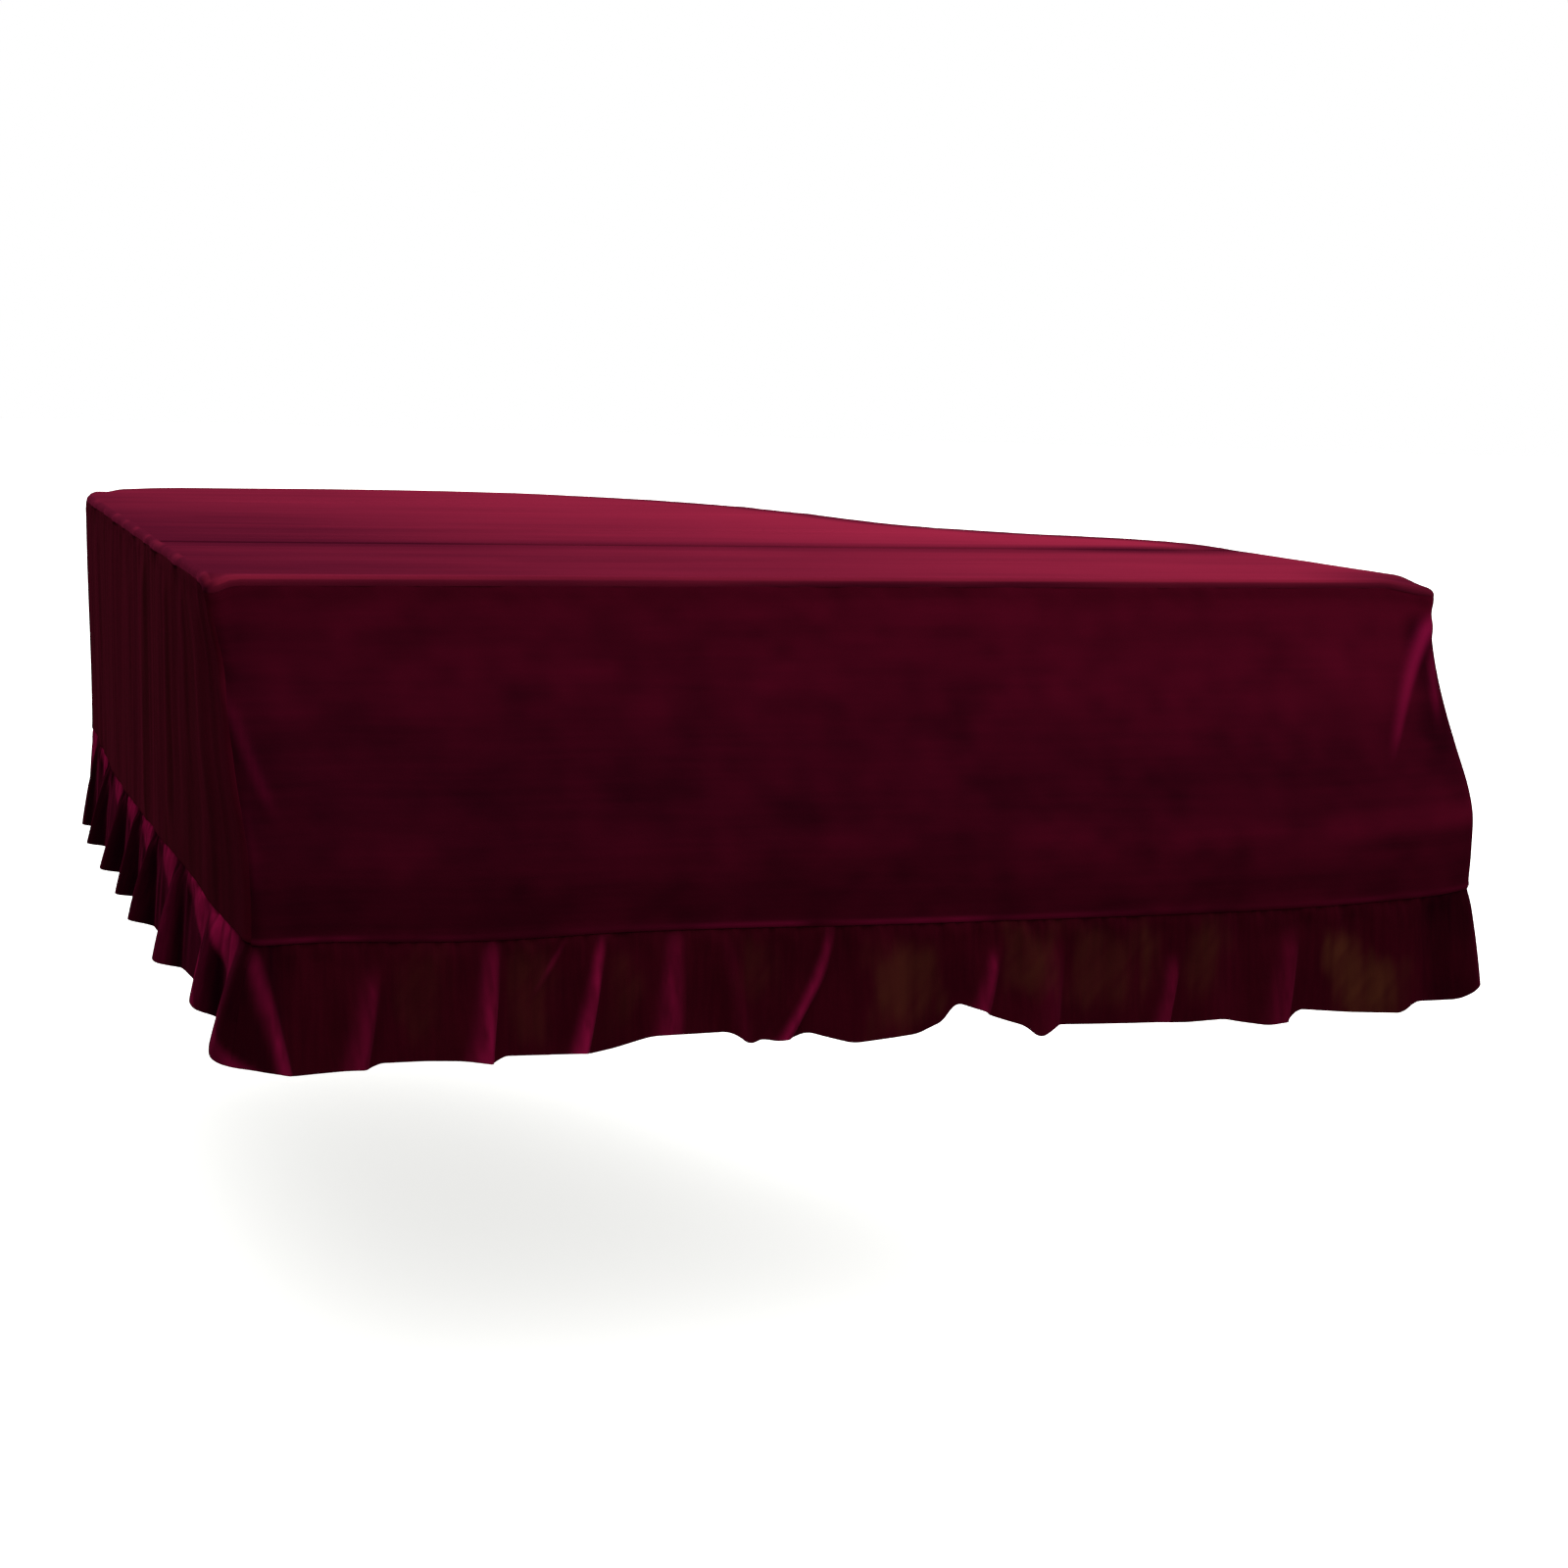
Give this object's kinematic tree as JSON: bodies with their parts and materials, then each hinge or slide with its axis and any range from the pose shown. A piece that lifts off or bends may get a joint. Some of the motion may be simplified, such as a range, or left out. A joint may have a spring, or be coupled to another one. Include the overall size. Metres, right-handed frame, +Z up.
{
  "type": "fitted cover for a grand piano",
  "caption": "Fitted velvet dust cover for a closed grand piano: a top panel cut to the lid, falls on every side and a gathered ruffle at the hem; hollow and open below.",
  "frame": {"origin": "on the underside of the top panel, where the piano's lid carries it, half way across the keyboard side and 0.85 m back from its front edge", "axes": "+X towards the piano's treble side, +Y towards its tail, +Z up"},
  "size_m": [1.5986, 1.906, 0.5282],
  "materials": {
    "top_velvet": "wine velvet, pile brushed smooth, soft sheen",
    "fall_velvet": "wine velvet hanging plumb, deep and dark, soft sheen on its folds",
    "ruffle_velvet": "wine velvet gathered into a ruffle, dark with brown flats"
  },
  "bodies": {
    "root": {"top_panel": "top_velvet", "front_fall": "fall_velvet", "cheek_fall": "fall_velvet", "bent_fall": "fall_velvet", "tail_fall": "fall_velvet", "spine_fall": "fall_velvet", "front_ruffle": "ruffle_velvet", "cheek_ruffle": "ruffle_velvet", "bent_ruffle": "ruffle_velvet", "tail_ruffle": "ruffle_velvet", "spine_ruffle": "ruffle_velvet"}
  },
  "joints": []
}
